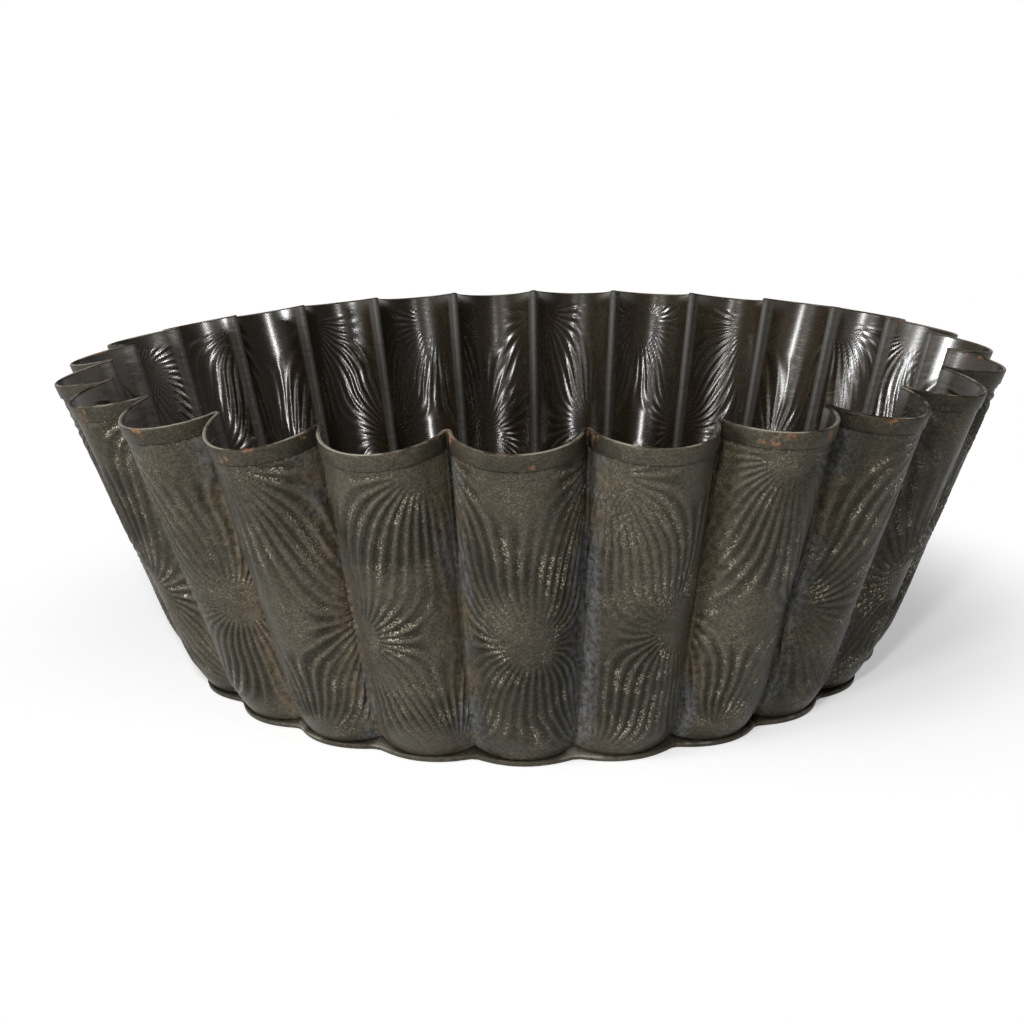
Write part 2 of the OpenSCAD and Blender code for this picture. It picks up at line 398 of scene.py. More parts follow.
sheet_middle = sheet_points(row_s)
sheet_normal = grid_normals(sheet_middle)
outer_skin = sheet_middle + sheet_normal * (SHEET / 2 + REED_H * outer_reed[..., None])
inner_skin = sheet_middle + sheet_normal * (REED_H * inner_reed[..., None] - SHEET / 2)
outer_normal, inner_normal = grid_normals(outer_skin), -grid_normals(inner_skin)
print("outer skin:", outer_skin.shape[:2], "points")

# %% Outline of the base, which the flange of the wall follows too


def base_line(inset=0.0):
    """The foot of the wall's outer skin, widened by the ledge, less an inset."""
    foot = foot_line + SHEET / 2 * foot_normal
    radius = np.linalg.norm(foot, axis=1)
    ledge = LEDGE_CROWN + (LEDGE_FOLD - LEDGE_CROWN + between_folds(ledge_more)) * (1 - column_share)
    return foot * ((radius - TURN_IN + ledge - inset) / radius)[:, None]


def at_z(line, z):
    """An outline lifted to a height."""
    return np.concatenate([line, np.full((len(line), 1), z)], -1)


flange_line = base_line(LAYER)
wall_foot_out, wall_foot_in = outer_skin[0, :, :2], inner_skin[0, :, :2]
flange = np.stack([at_z(wall_foot_out, LAYER + SHEET), at_z(flange_line, LAYER + SHEET),
                   at_z(flange_line, LAYER), at_z(wall_foot_in, LAYER)])
flange_width = float(np.linalg.norm(flange[1, COLUMNS // 2] - flange[0, COLUMNS // 2]))
print("flange width at a crown, mm:", round(1000 * flange_width, 2))

# %% Helpers that turn grids into closed meshes


def enclosed_volume(points, faces):
    """Volume inside a closed mesh of quads, the sum of a . (b x c) / 6 over its triangles. It is negative
    where the faces point inwards."""
    a, b, c, d = (points[faces[:, k]] for k in range(4))
    return (np.einsum("ij,ij->", a, np.cross(b, c)) + np.einsum("ij,ij->", a, np.cross(c, d))) / 6


def mesh_object(name, points, faces, normals=None, **attributes):
    """A mesh object at the origin from arrays, with its faces turned outwards. Smooth shading follows the
    given normals, if there are any, and each attribute is one number for each point."""
    volume = enclosed_volume(points, faces)
    faces = faces[:, ::-1] if volume < 0 else faces
    mesh = bpy.data.meshes.new(name)
    mesh.vertices.add(len(points))
    mesh.vertices.foreach_set("co", np.ascontiguousarray(points, np.float32).ravel())
    mesh.loops.add(faces.size)
    mesh.loops.foreach_set("vertex_index", np.ascontiguousarray(faces, np.int32).ravel())
    mesh.polygons.add(len(faces))
    mesh.polygons.foreach_set("loop_start", np.arange(0, faces.size, 4, dtype=np.int32))
    mesh.update(calc_edges=True)
    mesh.polygons.foreach_set("use_smooth", np.ones(len(faces), bool))
    for key, values in attributes.items():
        attribute = mesh.attributes.new(key, "FLOAT", "POINT")
        attribute.data.foreach_set("value", np.ascontiguousarray(values, np.float32).ravel())
    if normals is not None:
        mesh.normals_split_custom_set_from_vertices(np.ascontiguousarray(normals, np.float32))
    item = bpy.data.objects.new(name, mesh)
    bpy.context.scene.collection.objects.link(item)
    print(name, 2 * len(faces), "triangles,", round(abs(volume) / MM ** 3), "cubic mm")
    return item


def columns_first(grid, columns=slice(None)):
    """A grid of rows by columns, laid out column after column."""
    picked = np.swapaxes(grid[:, columns], 0, 1)
    return picked.reshape(picked.shape[0] * picked.shape[1], -1)


def tube_faces(rows, columns, closed):
    """Quads of a tube: its section is a ring of so many points, carried over the columns."""
    j, k = np.meshgrid(np.arange(columns if closed else columns - 1), np.arange(rows), indexing="ij")
    j2, k2 = (j + 1) % columns, (k + 1) % rows
    return np.stack([j * rows + k, j2 * rows + k, j2 * rows + k2, j * rows + k2], -1).reshape(-1, 4)


def end_faces(rows, columns):
    """Quads that close both ends of a tube whose section folds back on itself: point k meets point -1 - k."""
    k = np.arange(rows // 2 - 1)
    near = np.stack([k, k + 1, rows - 2 - k, rows - 1 - k], -1)
    return np.concatenate([near, near[:, ::-1] + rows * (columns - 1)])


def dress(item, node):
    """The piece rides on the mould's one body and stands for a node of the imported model."""
    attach(item, "root")
    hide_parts(node)
    return item


# %% The wall in lengths of three flutes
FLUTES_IN_PIECE = 3
LIT_UP, LIT_LEFT = 0.8, 0.6  # the reed sides that get painted glints face this much up and this much to the left, towards the lamps
N = len(column_angle)
wall_ring = np.concatenate([outer_skin[::-1], flange, inner_skin])
ring_normal = np.concatenate([outer_normal[::-1], outer_normal[[0, 0]], inner_normal[[0, 0]], inner_normal])
ring_reed = np.concatenate([outer_reed[::-1], np.zeros((4, N)), inner_reed])
leftwards = np.stack([np.sin(column_angle), -np.cos(column_angle), np.zeros(N)], -1)
# How far the outer relief tilts towards the lamps: the finish paints glints where this is high and shade
# where it is low.
slope = outer_normal - sheet_normal
outer_lit_side = LIT_UP * slope[..., 2] + LIT_LEFT * (slope * leftwards).sum(-1)
ring_upper = np.concatenate([outer_lit_side[::-1], np.zeros((ROWS + 4, N))])
ring_side = np.repeat([1.0, 0.0], ROWS + 2)[:, None] * np.ones(N)
ring_height = np.concatenate([row_s[::-1], np.zeros(4), row_s])[:, None] * np.ones(N)
ring_fold = np.broadcast_to(1 - column_share, ring_reed.shape)


def wall_piece(number, first, last):
    """A closed length of the wall from one fold to another."""
    columns = np.arange(first * COLUMNS, last * COLUMNS + 1) % N
    rows = len(wall_ring)
    faces = np.concatenate([tube_faces(rows, len(columns), closed=False), end_faces(rows, len(columns))])
    grids = {"reed": ring_reed, "upper": ring_upper, "side": ring_side, "height": ring_height,
             "fold": ring_fold}
    item = mesh_object(f"pleated_wall_{number}", columns_first(wall_ring, columns), faces,
                       columns_first(ring_normal, columns),
                       **{key: columns_first(grid, columns) for key, grid in grids.items()})
    return dress(item, "pleated_wall")


wall_pieces = [wall_piece(number, first, min(first + FLUTES_IN_PIECE, FLUTES))
               for number, first in enumerate(range(0, FLUTES, FLUTES_IN_PIECE))]
print(len(wall_pieces), "lengths of wall")

# %% [markdown]
# ## The hem
# The rim is bound by a plain band that is turned over the raw edge of the wall, so that its top is round
# and it ends in a small step below. It is one closed section carried round the same outline as the wall.
# A bent profile on a curve would also do, but the wall's own outline keeps the two exactly together.

# %% Hem
HEM_ROUND = 8  # facets over its rounded top
HEM_BEVEL = 0.1 * MM
HEM_WORN = 0.1 * MM, 0.4 * MM  # heights over the wall's edge between which it gets rubbed
hem_out, hem_in = BAND_OFF + SHEET, -SHEET / 2
hem_middle, hem_half = (hem_out + hem_in) / 2, (hem_out - hem_in) / 2
over = np.arange(HEM_ROUND + 1) / HEM_ROUND * np.pi
hem_profile = np.array([
    (HEM_S, hem_out - HEM_BEVEL, 0), (HEM_S + HEM_BEVEL / SLANT, hem_out, 0), (1, hem_out, -GAP),
    *[(1, hem_middle + hem_half * np.cos(a), GAP + SHEET * np.sin(a)) for a in over],
    (1, hem_in, 0.5 * GAP), (1, BAND_OFF, 0.5 * GAP), (HEM_S, BAND_OFF, 0)])
hem_grid = sheet_points(hem_profile[:, 0], hem_profile[:, 1], hem_profile[:, 2])
hem_worn = smooth(*HEM_WORN, hem_profile[:, 2]) * (hem_profile[:, 0] == 1)
rim_hem = mesh_object("rim_hem_band", columns_first(hem_grid), tube_faces(len(hem_profile), N, closed=True),
                      worn=np.tile(hem_worn, N), fold=np.repeat(1 - column_share, len(hem_profile)))
dress(rim_hem, "rim_hem")

# %% [markdown]
# ## The base
# The base is a flat disc whose edge is folded up and back over the wall's flange. From the side the fold is
# a low, slim band that goes on where the wall ends, with a fine line between them. At the creases between
# flutes the folded lip is wider and climbs towards the wall, and there it shows as a small facet. It is one
# section again, from the middle of the underside round the fold and back to the middle.

# %% Base
EDGE_ROUND = 5
BAND_H = 1.3 * MM  # height of the folded band outside a crown
BAND_LEAN = 0.25  # how much the band leans out with the wall, as run over rise
LIP_CROWN = 0.1 * MM  # how far the lip climbs against the wall on a crown
LIP_CREASE = 1.5 * MM  # and in a crease
LIP_THICK = 1.2 * SHEET
CORNER_LOW, CORNER_HIGH = 0.5 * MM, 0.25 * MM  # radii of the band's lower and upper corner
EDGE_WORN = 0.5  # wear of the upper corner
disc_shares = np.array([0.004, 0.15, 0.35, 0.6, 0.8, 0.93])
crease = (1 - column_share) ** 2


def base_rings():
    """Rings of the base from the middle of its underside to the middle of its upper side: the disc, a round
    corner, the band that leans outwards, a round top edge, the lip up to the wall, and back below it."""
    outer, bend = base_line(), base_line(LAYER)
    corner = np.arange(EDGE_ROUND + 1) / EDGE_ROUND * np.pi / 2
    low, high = CORNER_LOW, CORNER_HIGH
    rings = [at_z(outer * share, 0) for share in disc_shares]
    rings += [at_z(base_line(low * (1 - np.sin(a))), low * (1 - np.cos(a))) for a in corner]
    top = BAND_H - high
    lean = -BAND_LEAN * (top - low)
    rings += [at_z(base_line(lean + high * (1 - np.cos(a))), top + high * np.sin(a)) for a in corner]
    climb = LIP_CROWN + (LIP_CREASE - LIP_CROWN) * crease
    s_top = (BAND_H + climb - FOOT_Z) / WALL_H
    inset = TURN_IN * (1 - s_top / TURN_S) ** 2
    run = s_top[:, None] * (rim_line - foot_line)
    wall_line = foot_line + BAND_OFF * foot_normal
    reach = np.linalg.norm(wall_line, axis=1)
    lip_line = wall_line * ((reach - inset) / reach)[:, None] + run
    lip_top = at_z(lip_line, BAND_H)
    lip_top[:, 2] += climb
    lip_under = lip_top - [0, 0, LIP_THICK]
    rings += [lip_top, lip_under, at_z(bend, 2 * LAYER), at_z(bend, SHEET)]
    rings += [at_z(outer * share, SHEET) for share in disc_shares[::-1]]
    return np.stack(rings)


def disc_middle(row, pole, rings):
    """Quads of a fan: each joins the pole to two neighbouring steps of the innermost ring."""
    j = np.arange(0, N, 2)
    return np.stack([np.full(len(j), pole), j * rings + row, (j + 1) % N * rings + row,
                     (j + 2) % N * rings + row], -1)


base_grid = base_rings()
base_rows = len(base_grid)
base_points = np.concatenate([columns_first(base_grid), [[0, 0, 0], [0, 0, SHEET]]])
under_pole, upper_pole = len(base_points) - 2, len(base_points) - 1
base_sides = tube_faces(base_rows, N, closed=True)[np.tile(np.arange(base_rows) < base_rows - 1, N)]
base_faces = np.concatenate([base_sides, disc_middle(0, under_pole, base_rows)[:, ::-1],
                             disc_middle(base_rows - 1, upper_pole, base_rows)])
ring_edge = np.zeros(base_rows)
ring_edge[len(disc_shares) + EDGE_ROUND + 1:len(disc_shares) + 2 * EDGE_ROUND + 3] = EDGE_WORN
base_plate = mesh_object("base_plate_folded", base_points, base_faces,
                         worn=np.concatenate([np.tile(ring_edge, N), [0, 0]]))
dress(base_plate, "base_plate")

# %% [markdown]
# ## The lap of the strip
# The two ends of the strip meet in a narrow lap down the flank of one flute, from the hem to the foot. It
# is a thin ribbon on the wall's outer side with rounded long edges.

# %% Side lap
LAP_ROWS = 150
LAP_ROUND, LAP_LEAST = 8, 0.05  # how late its thickness falls off towards the long edges, and how far
lap_first, lap_last = SEAM_FLUTE * COLUMNS + SEAM_COLUMNS
lap_columns = np.arange(lap_first, lap_last + 1)
lap_s = np.linspace(GAP / SLANT, HEM_S - GAP / SLANT, LAP_ROWS)
across = np.linspace(-1, 1, len(lap_columns))
lap_thick = SHEET * np.sqrt(np.maximum(LAP_LEAST, 1 - across ** LAP_ROUND))
lap_under = sheet_points(lap_s, BAND_OFF, columns=lap_columns)
lap_over = sheet_points(lap_s, BAND_OFF + SHEET, columns=lap_columns)
lap_over = lap_under + (lap_over - lap_under) * (lap_thick / SHEET)[None, :, None]
lap_ring = np.concatenate([lap_over, lap_under[:, ::-1]], 1).swapaxes(0, 1)
lap_width = len(lap_ring)
lap_faces = np.concatenate([tube_faces(lap_width, LAP_ROWS, closed=False), end_faces(lap_width, LAP_ROWS)])
side_lap = mesh_object("side_lap", columns_first(lap_ring), lap_faces)
dress(side_lap, "side_seam")

# %% [markdown]
# ## Old tinned sheet
# New tinplate is bright. After years in the oven it is a dark, warm grey with a satin face: the tin has
# oxidised, fat has baked on in patches, and only crests and edges that are rubbed stay brighter. Here only
# the edges are rubbed. The reeds get painted shade in their troughs, a slight painted highlight on their
# crests, and painted glints on the sides that face the lamps. A picture of such metal could be wrapped
# round it, but a finish made of noise at real sizes has no seams and fits every piece. Three effects are
# used by more than one material, so each is a node group made once: the patches of patina, the fine grain
# of the metal's face with its painted glints, and rust. A group puts out only colours, masks and heights.
# The shader itself stays in each material.

# %% Helpers for nodes


def new_group(name, inputs, outputs):
    """An empty node group with named sockets, and its input and output nodes."""
    tree = bpy.data.node_groups.new(name, "ShaderNodeTree")
    for direction, sockets in (("INPUT", inputs), ("OUTPUT", outputs)):
        for label, kind in sockets.items():
            tree.interface.new_socket(label, in_out=direction, socket_type="NodeSocket" + kind)
    return tree, tree.nodes.new("NodeGroupInput"), tree.nodes.new("NodeGroupOutput")


def put(tree, kind, inputs=None, **settings):
    """A node with its settings, whose inputs are set to values or linked to sockets."""
    node = tree.nodes.new(kind)
    for key, value in settings.items():
        setattr(node, key, value)
    for key, value in (inputs or {}).items():
        if isinstance(value, bpy.types.NodeSocket):
            tree.links.new(value, node.inputs[key])
        else:
            node.inputs[key].default_value = value
    return node


def noise(tree, place, size, detail=3.0, rough=0.55):
    """Noise from 0 to 1 whose largest blotches are about so many metres wide."""
    inputs = {"Vector": place, "Scale": 1 / size, "Detail": detail, "Roughness": rough}
    return put(tree, "ShaderNodeTexNoise", inputs).outputs[0]


def ramp(tree, value, low, high, to_low=0.0, to_high=1.0):
    """An even curve from to_low, at low and below, to to_high, at high and above."""
    inputs = {"Value": value, "From Min": low, "From Max": high, "To Min": to_low, "To Max": to_high}
    return put(tree, "ShaderNodeMapRange", inputs, interpolation_type="SMOOTHSTEP").outputs[0]


def maths(tree, operation, a, b=0.0):
    """One sum, product or the like."""
    return put(tree, "ShaderNodeMath", {0: a, 1: b}, operation=operation).outputs[0]


def blend_colours(tree, share, a, b):
    """Colour a where share is 0 and colour b where it is 1."""
    a, b = ((*c, 1.0) if isinstance(c, tuple) else c for c in (a, b))
    return put(tree, "ShaderNodeMix", {0: share, 6: a, 7: b}, data_type="RGBA").outputs[2]


def tint(tree, colour, factor):
    """A colour or a place times a number, or times another one part by part."""
    return put(tree, "ShaderNodeVectorMath", {0: colour, 1: factor}, operation="MULTIPLY").outputs[0]


# %% Group: patches of patina
PATCH, STAIN, MOTTLE, SPECKLE = 30 * MM, 8 * MM, 1.2 * MM, 0.45 * MM


def patina_group():
    """Three colours in patches: pale and dark by a broad noise, brown stains by a middling one, and fine
    mottling and speckle over them."""
    sockets = {"Vector": "Vector", "Pale": "Color", "Dark": "Color", "Stain": "Color"}
    tree, given, out = new_group("patina", sockets, {"Color": "Color", "Dull": "Float"})
    place = given.outputs["Vector"]
    patch = ramp(tree, noise(tree, place, PATCH, 5.0), 0.36, 0.64)
    colour = blend_colours(tree, patch, given.outputs["Pale"], given.outputs["Dark"])
    stain = ramp(tree, noise(tree, place, STAIN, 6.0, 0.65), 0.5, 0.7, 0.0, 0.75)
    colour = blend_colours(tree, stain, colour, given.outputs["Stain"])
    mottle = ramp(tree, noise(tree, place, MOTTLE, 5.0, 0.8), 0.3, 0.7, 0.76, 1.24)
    speckle = ramp(tree, noise(tree, place, SPECKLE, 2.0, 0.6), 0.32, 0.68, 0.7, 1.3)
    colour = tint(tree, tint(tree, colour, mottle), speckle)
    tree.links.new(colour, out.inputs["Color"])
    tree.links.new(maths(tree, "MULTIPLY", stain, patch), out.inputs["Dull"])
    return tree


# %% Group: fine grain and glints
GRAIN, PEEL, GLINT = 0.35 * MM, 1.0 * MM, 0.42 * MM


def grain_group():
    """Height of the metal's face, fine grain over a softer unevenness, and small bright glints where a fine
    noise and a patchy one are both high."""
    tree, given, out = new_group("grain", {"Vector": "Vector"}, {"Height": "Float", "Glint": "Float"})
    place = given.outputs["Vector"]
    fine = maths(tree, "MULTIPLY", noise(tree, place, GRAIN, 2.0, 0.5), 0.4)
    peel = maths(tree, "MULTIPLY", noise(tree, place, PEEL, 2.0), 0.6)
    speck = ramp(tree, noise(tree, place, GLINT, 2.0, 0.6), 0.5, 0.66)
    patchy = ramp(tree, noise(tree, place, STAIN, 4.0, 0.6), 0.49, 0.6)
    tree.links.new(maths(tree, "ADD", fine, peel), out.inputs["Height"])
    tree.links.new(maths(tree, "MULTIPLY", speck, patchy), out.inputs["Glint"])
    return tree


# %% Group: rust
RUST_SPOT = 7 * MM
RUST_DARK, RUST_PALE = (0.13, 0.06, 0.03), (0.26, 0.135, 0.07)


def rust_group():
    """Rare spots, where a noise passes a limit that Amount lowers, in two browns."""
    tree, given, out = new_group("rust", {"Vector": "Vector", "Amount": "Float"},
                                 {"Mask": "Float", "Color": "Color"})
    place = given.outputs["Vector"]
    spots = noise(tree, place, RUST_SPOT, 6.0, 0.7)
    raised = maths(tree, "ADD", spots, maths(tree, "MULTIPLY", given.outputs["Amount"], 0.2))
    mask = ramp(tree, raised, 0.72, 0.8)
    colour = blend_colours(tree, noise(tree, place, MOTTLE, 3.0), RUST_DARK, RUST_PALE)
    tree.links.new(mask, out.inputs["Mask"])
    tree.links.new(colour, out.inputs["Color"])
    return tree


patina, grain, rust = patina_group(), grain_group(), rust_group()
print("node groups:", [g.name for g in (patina, grain, rust)])

# %% [markdown]
# Each material starts from these groups and adds what its own piece shows. The strip has painted glints
# on the sides of its reeds that face up and to the left, towards the lamps, and painted shade on the sides
# that face away, in its troughs, in the creases of its folds, along its foot and under the hem. Near the
# folds a pale bloom and copper colour is partly tarnish and partly a painted reflection of the cool light
# from the left. Its inner side is darker, smoother and browner than its outer side, because fat has baked
# on as a film. The hem is rubbed along its rolled edge, darker towards the folds, and has spots of rust,
# and the base is as grey as the wall.

# %% A material of tinned sheet
PALE_TIN, DARK_TIN, BROWN_STAIN = (0.058, 0.051, 0.037), (0.035, 0.031, 0.022), (0.050, 0.038, 0.023)
# Pale bare tin: the colour of edges rubbed bare, and of painted glints.
RUBBED_AND_GLINT_TIN = (0.34, 0.31, 0.25)
METAL, GLINT_METAL = 0.15, 0.6  # how far the dull face still acts as bare metal, and what a glint adds
GLINT_POLISH = -0.1  # what a glint adds to the roughness
RUST_ROUGH, DULL_ROUGH = 0.3, 0.12  # what rust and dull patches add to it
SHEEN = 0.08  # specular level of the dull face
FILM_IOR, FILM_ROUGH = 1.62, 0.24  # of the film of baked-on fat


def grouped(tree, group, **inputs):
    """A node that places one of the groups."""
    node = tree.nodes.new("ShaderNodeGroup")
    node.node_tree = group
    for key, value in inputs.items():
        if isinstance(value, bpy.types.NodeSocket):
            tree.links.new(value, node.inputs[key])
        else:
            node.inputs[key].default_value = (*value, 1.0) if isinstance(value, tuple) else value
    return node


def attribute(tree, name):
    """A number that a mesh carries at its points."""
    return put(tree, "ShaderNodeAttribute", attribute_name=name).outputs["Fac"]


def tin_material(name, rough, rust_amount, grain_depth, finish):
    """Patina, grain and rust on a metal shader. finish takes the tree and a dictionary with the colour,
    roughness, glint and height so far, and changes what its own piece needs."""
    material = bpy.data.materials.new(name)
    material.use_nodes = True
    tree = material.node_tree
    shader = tree.nodes["Principled BSDF"]
    place = put(tree, "ShaderNodeTexCoord").outputs["Object"]
    coat = grouped(tree, patina, Vector=place, Pale=PALE_TIN, Dark=DARK_TIN, Stain=BROWN_STAIN)
    face = grouped(tree, grain, Vector=place)
    spots = grouped(tree, rust, Vector=place, Amount=rust_amount)
    look = {"colour": coat.outputs["Color"], "glint": face.outputs["Glint"], "height": face.outputs["Height"],
            "rough": maths(tree, "ADD", maths(tree, "MULTIPLY", coat.outputs["Dull"], DULL_ROUGH), rough)}
    finish(tree, place, look)
    spot = spots.outputs["Mask"]
    # Painted glints: where the glint mask is high the colour turns to pale bare tin.
    colour = blend_colours(tree, look["glint"], look["colour"], RUBBED_AND_GLINT_TIN)
    colour = blend_colours(tree, spot, colour, spots.outputs["Color"])
    polish = maths(tree, "MULTIPLY", look["glint"], GLINT_POLISH)
    rough_all = maths(tree, "ADD", look["rough"], polish)
    rough_all = maths(tree, "ADD", rough_all, maths(tree, "MULTIPLY", spot, RUST_ROUGH))
    clean = maths(tree, "SUBTRACT", 1.0, spot)
    bare = maths(tree, "ADD", METAL, maths(tree, "MULTIPLY", look["glint"], GLINT_METAL))
    metal = maths(tree, "MULTIPLY", clean, bare)
    shader.inputs["Specular IOR Level"].default_value = SHEEN
    shader.inputs["Coat IOR"].default_value = FILM_IOR
    shader.inputs["Coat Roughness"].default_value = FILM_ROUGH
    if "film" in look:
        tree.links.new(look["film"], shader.inputs["Coat Weight"])
    bump = put(tree, "ShaderNodeBump", {"Height": look["height"], "Strength": 1.0, "Distance": grain_depth})
    tree.links.new(colour, shader.inputs["Base Color"])
    tree.links.new(rough_all, shader.inputs["Roughness"])
    tree.links.new(metal, shader.inputs["Metallic"])
    tree.links.new(bump.outputs["Normal"], shader.inputs["Normal"])
    return material


# %% Finish of the pressed strip
OUTSIDE_ROUGH, INSIDE_ROUGH = 0.38, 0.28
REEDED_GRAIN = 0.2 * MM
INSIDE_FILM = 1.0  # weight of the film of fat on the inner side
DENT = 1.8 * MM  # height of the soft dents of the inner side
DENT_SQUEEZE = (0.33, 0.33, 1.0)  # which are three times as wide
DENT_DEPTH, GRAIN_INSIDE = 2.2, 0.2  # depth of dents and grain inside, when the grain outside is 1
# Bloom and copper colours near the folds, which also paint a reflection of the cool side light, and the grey
# of the ribs inside.
BLOOM_AND_SHEEN, COPPER_AND_SHEEN, RIB = (0.112, 0.115, 0.118), (0.12, 0.092, 0.06), (0.085, 0.078, 0.07)
INNER_TINT = (0.5, 0.38, 0.24)


def pressed_finish(tree, place, look):
    """Crests a little brighter and troughs darker on both skins, as painted highlight and shade. Outside,
    painted glints on the reed sides that face up and to the left and painted shade on those facing away, a
    patchy pale bloom and copper near the folds that is partly tarnish and partly painted reflection of the
    cool side light, and painted shade in the creases, along the foot and under the hem. Inside, a darker and
    smoother face with soft dents and a film of fat, and plain grey ribs where the folds stand out."""
    crest, side, fold = (attribute(tree, key) for key in ("reed", "side", "fold"))
    # Painted shade in the troughs of the reeds and a slight painted highlight on their crests, on both skins.
    colour = tint(tree, look["colour"], ramp(tree, crest, -0.7, 0.15, 0.45, 1.06))
    upper = attribute(tree, "upper")
    # Painted shade on the sides of the reeds that face down and to the right, away from the lamps.
    outer = tint(tree, colour, ramp(tree, upper, -0.2, 0.0, 0.62, 1.0))
    # A pale colour beside the folds: partly a tarnish bloom, partly a painted reflection of the cool light
    # from the left.
    cloudy = noise(tree, place, PATCH, 4.0, 0.6)
    cast = blend_colours(tree, ramp(tree, cloudy, 0.46, 0.54), COPPER_AND_SHEEN, BLOOM_AND_SHEEN)
    ragged = ramp(tree, noise(tree, place, MOTTLE, 3.0, 0.6), 0.35, 0.65, 0.15, 0.7)
    outer = blend_colours(tree, maths(tree, "MULTIPLY", ramp(tree, fold, 0.4, 0.75), ragged), outer, cast)
    height = attribute(tree, "height")
    # Painted shade in the creases of the folds, stronger in the upper part of the wall.
    crease_shade = ramp(tree, fold, 0.9, 0.97, 0.0, 0.85)
    crease_shade = maths(tree, "MULTIPLY", crease_shade, ramp(tree, height, 0.5, 0.85, 0.25, 1.0))
    outer = tint(tree, outer, maths(tree, "SUBTRACT", 1.0, crease_shade))
    # Painted shade on the wall's lowest millimetre over the base and on the strip just under the hem.
    shade_by_foot_and_hem = maths(tree, "MULTIPLY", ramp(tree, height, 0.004, 0.014, 0.7, 1.0),
                  ramp(tree, height, HEM_S - 0.008, HEM_S - 0.002, 1.0, 0.5))
    outer = tint(tree, outer, shade_by_foot_and_hem)
    rib = ramp(tree, fold, 0.75, 0.83)
    inner = blend_colours(tree, rib, tint(tree, colour, INNER_TINT), RIB)
    look["colour"] = blend_colours(tree, side, inner, outer)
    # Painted glints, only outside, on the sides of the reeds that face the lamps.
    lifted = ramp(tree, upper, -0.04, 0.14, 0.12, 1.0)
    look["glint"] = maths(tree, "MULTIPLY", look["glint"], maths(tree, "MULTIPLY", lifted, side))
    extra = ramp(tree, fold, 0.9, 0.96, OUTSIDE_ROUGH - INSIDE_ROUGH, 0.5)
    extra = maths(tree, "ADD", maths(tree, "MULTIPLY", side, extra), maths(tree, "MULTIPLY", rib, 0.15))
    look["rough"] = maths(tree, "ADD", look["rough"], extra)
    depth = ramp(tree, side, 0.0, 1.0, DENT_DEPTH, 0.0)
    dents = maths(tree, "MULTIPLY", noise(tree, tint(tree, place, DENT_SQUEEZE), DENT, 1.0), depth)
    fine = maths(tree, "MULTIPLY", look["height"], ramp(tree, side, 0.0, 1.0, GRAIN_INSIDE, 1.0))
    look["height"] = maths(tree, "ADD", fine, dents)
    film = ramp(tree, side, 0.0, 1.0, INSIDE_FILM, 0.0)
    look["film"] = maths(tree, "MULTIPLY", film, maths(tree, "SUBTRACT", 1.0, rib))


pressed_tin = tin_material("pressed_tin", INSIDE_ROUGH, 0.0, REEDED_GRAIN, pressed_finish)
for piece in wall_pieces:
    piece.data.materials.append(pressed_tin)

# %% Finish of the plain pieces
WEAR_SIZE, WEAR_SPAN = 12 * MM, 0.16  # length of the rubbed stretches of an edge, and how softly they end
BROWNED = (0.8, 0.62, 0.48)  # tint of the hem's rolled edge between them
EDGE_POLISH = 0.12  # roughness that a rubbed edge loses
FEW_GLINTS = 0.05  # share of the glints that is left on sheet without reeds
PLAIN_GRAIN = 0.05 * MM


def rubbed(tree, place, low, most, full):
    """Share of bare metal along an edge: a noise along it counts from low on and gives most, wholly so where
    the attribute worn has reached full."""
    uneven = ramp(tree, noise(tree, place, WEAR_SIZE, 5.0, 0.6), low, low + WEAR_SPAN, 0.0, most)
    return maths(tree, "MULTIPLY", ramp(tree, attribute(tree, "worn"), 0.2, full), uneven)


def plain_finish(tree, place, look):
    """Sheet without reeds has few glints. The lap needs no more."""
    look["glint"] = maths(tree, "MULTIPLY", look["glint"], FEW_GLINTS)


def hem_finish(tree, place, look):
    """A rolled edge that is browned, and rubbed bright in places, and darker towards the folds."""
    edge = rubbed(tree, place, 0.42, 0.95, 1.0)
    browned = tint(tree, look["colour"], BROWNED)
    colour = blend_colours(tree, ramp(tree, attribute(tree, "worn"), 0.0, 0.6), look["colour"], browned)
    colour = blend_colours(tree, edge, colour, RUBBED_AND_GLINT_TIN)
    # Darker overall, and more so towards the folds.
    look["colour"] = tint(tree, colour, ramp(tree, attribute(tree, "fold"), 0.3, 0.9, 0.85, 0.6))
    look["rough"] = maths(tree, "SUBTRACT", look["rough"], maths(tree, "MULTIPLY", edge, EDGE_POLISH))
    plain_finish(tree, place, look)


def base_finish(tree, place, look):
    """As grey as the wall, and rubbed a little along the top of its folded edge."""
    look["colour"] = blend_colours(tree, rubbed(tree, place, 0.48, 0.45, 0.5), look["colour"], RUBBED_AND_GLINT_TIN)
    plain_finish(tree, place, look)


hem_tin = tin_material("hem_tin", 0.4, 0.7, PLAIN_GRAIN, hem_finish)
base_tin = tin_material("base_tin", 0.42, 0.2, PLAIN_GRAIN, base_finish)
seam_tin = tin_material("seam_tin", 0.42, 0.1, PLAIN_GRAIN, plain_finish)
for piece, material in ((rim_hem, hem_tin), (base_plate, base_tin), (side_lap, seam_tin)):
    piece.data.materials.append(material)
print("materials:", [m.name for m in (pressed_tin, hem_tin, base_tin, seam_tin)])

# %% [markdown]
# ## Light and ground
# Dark metal shows what is round it. The ground and the backdrop are white, and the room above them is dim,
# so the outside of the mould, which leans out over the ground, looks evenly grey, while the inside, which
# faces the ceiling, looks dark. A soft lamp high at the front left makes the shadow. A stronger and slightly
# cool one, low at the front left, lights the reeds from the side. A small one just above the camera puts
# bright streaks into every flute of the far wall.

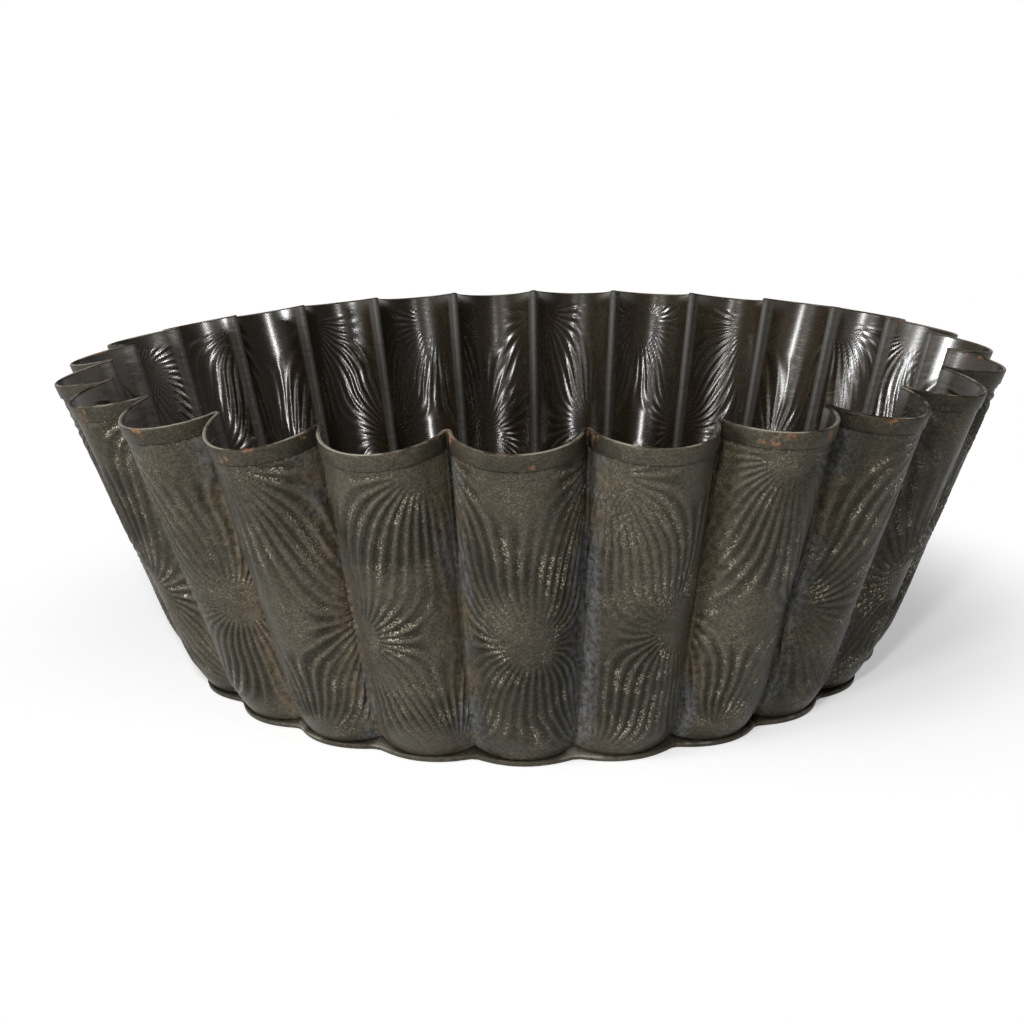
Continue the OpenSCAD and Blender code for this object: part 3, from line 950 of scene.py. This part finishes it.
# %% World
SKY_LOW, SKY_HIGH = 0.08, 0.3  # height of a ray at which the backdrop ends and the dim ceiling begins
CEILING, WHITE = (0.1, 0.1, 0.1), (1.0, 1.0, 1.0)
DIFFUSE_LIGHT = 0.22


def shown_rays(tree):
    """Camera rays, and all rays by which the camera sees a thing: its own, mirrored and passed through."""
    ray = put(tree, "ShaderNodeLightPath").outputs
    seen = maths(tree, "MAXIMUM", ray["Is Camera Ray"], ray["Is Glossy Ray"])
    return ray["Is Camera Ray"], maths(tree, "MAXIMUM", seen, ray["Is Transmission Ray"])


def add_world():
    """White for the camera. Reflections see a white backdrop up to a height and a dim ceiling above it. An
    even light for the rest."""
    world = bpy.data.worlds.new("studio")
    world.use_nodes = True
    tree = world.node_tree
    tree.nodes.clear()
    direct, seen = shown_rays(tree)
    direction = put(tree, "ShaderNodeTexCoord").outputs["Generated"]
    height = put(tree, "ShaderNodeSeparateXYZ", {0: direction}).outputs["Z"]
    room = blend_colours(tree, ramp(tree, height, SKY_LOW, SKY_HIGH), WHITE, CEILING)
    room = blend_colours(tree, direct, room, WHITE)
    even = put(tree, "ShaderNodeBackground", {"Color": (*WHITE, 1), "Strength": DIFFUSE_LIGHT}).outputs[0]
    shown = put(tree, "ShaderNodeBackground", {"Color": room, "Strength": 1.0}).outputs[0]
    mixed = put(tree, "ShaderNodeMixShader", {0: seen, 1: even, 2: shown}).outputs[0]
    tree.links.new(mixed, put(tree, "ShaderNodeOutputWorld").inputs[0])
    bpy.context.scene.world = world


add_world()

# %% Lamps
KEY = {"place": (-0.8, -0.9, 1.3), "size": 0.5, "watts": 7}
WINDOW = {"place": (-0.88, -1.08, 0.22), "size": 0.25, "watts": 17, "colour": (0.94, 0.97, 1.0)}
SMALL_PLACE = (-0.03, 0, 0.09)  # from the camera
SMALL_SIZE, SMALL_WATTS = 0.025, 0.6


def add_lamp(name, place, size, watts, colour=WHITE):
    """A square soft lamp that looks at the middle of the mould."""
    data = bpy.data.lights.new(name, "AREA")
    data.size, data.energy, data.color = size, watts, colour
    lamp = bpy.data.objects.new(name, data)
    lamp.location = place
    aim = Vector((0, 0, MOULD_H / 2)) - Vector(place)
    lamp.rotation_euler = aim.to_track_quat("-Z", "Y").to_euler()
    bpy.context.scene.collection.objects.link(lamp)
    return lamp


key = add_lamp("key", **KEY)
window = add_lamp("window", **WINDOW)
small = add_lamp("small", camera.matrix_world.translation + Vector(SMALL_PLACE), SMALL_SIZE, SMALL_WATTS)
print("lamps:", [lamp.name for lamp in (key, window, small)])

# %% Ground
GROUND = (0.84, 0.84, 0.84)
GROUND_RADIUS, GROUND_DROP = 6, 0.05 * MM
GROUND_LIFT = 0.38  # what the ground adds where it is seen, so that it meets the white backdrop
SHADOW_FROM, SHADOW_TO = 0.1, 0.17  # metres from the mould between which its ground passes into plain white


def add_ground():
    """A large disc that takes the mould's shadow near it, is plain white to the camera further off, and lets
    the underside be seen from below. It lies a hair under the mould, so that the two faces don't coincide."""
    bpy.ops.mesh.primitive_circle_add(vertices=96, radius=GROUND_RADIUS, fill_type="NGON")
    ground = bpy.context.active_object
    ground.name = "ground"
    ground.data.transform(Matrix.Translation((0, 0, -GROUND_DROP)))
    material = bpy.data.materials.new("ground")
    material.use_nodes = True
    tree = material.node_tree
    tree.nodes.clear()
    seen = shown_rays(tree)[1]
    place = put(tree, "ShaderNodeTexCoord").outputs["Object"]
    away = put(tree, "ShaderNodeVectorMath", {0: place}, operation="LENGTH").outputs["Value"]
    far = maths(tree, "MULTIPLY", ramp(tree, away, SHADOW_FROM, SHADOW_TO), seen)
    matt = put(tree, "ShaderNodeBsdfDiffuse", {"Color": (*GROUND, 1)}).outputs[0]
    glow = maths(tree, "MULTIPLY", seen, GROUND_LIFT)
    lift = put(tree, "ShaderNodeEmission", {"Strength": glow}).outputs[0]
    near = put(tree, "ShaderNodeAddShader", {0: matt, 1: lift}).outputs[0]
    white = put(tree, "ShaderNodeEmission", {"Strength": 1.0}).outputs[0]
    shown = put(tree, "ShaderNodeMixShader", {0: far, 1: near, 2: white}).outputs[0]
    below = put(tree, "ShaderNodeNewGeometry").outputs["Backfacing"]
    clear = put(tree, "ShaderNodeBsdfTransparent").outputs[0]
    shown = put(tree, "ShaderNodeMixShader", {0: below, 1: shown, 2: clear}).outputs[0]
    tree.links.new(shown, put(tree, "ShaderNodeOutputMaterial").inputs[0])
    ground.data.materials.append(material)


add_ground()
bpy.context.scene.view_settings.view_transform = "Standard"
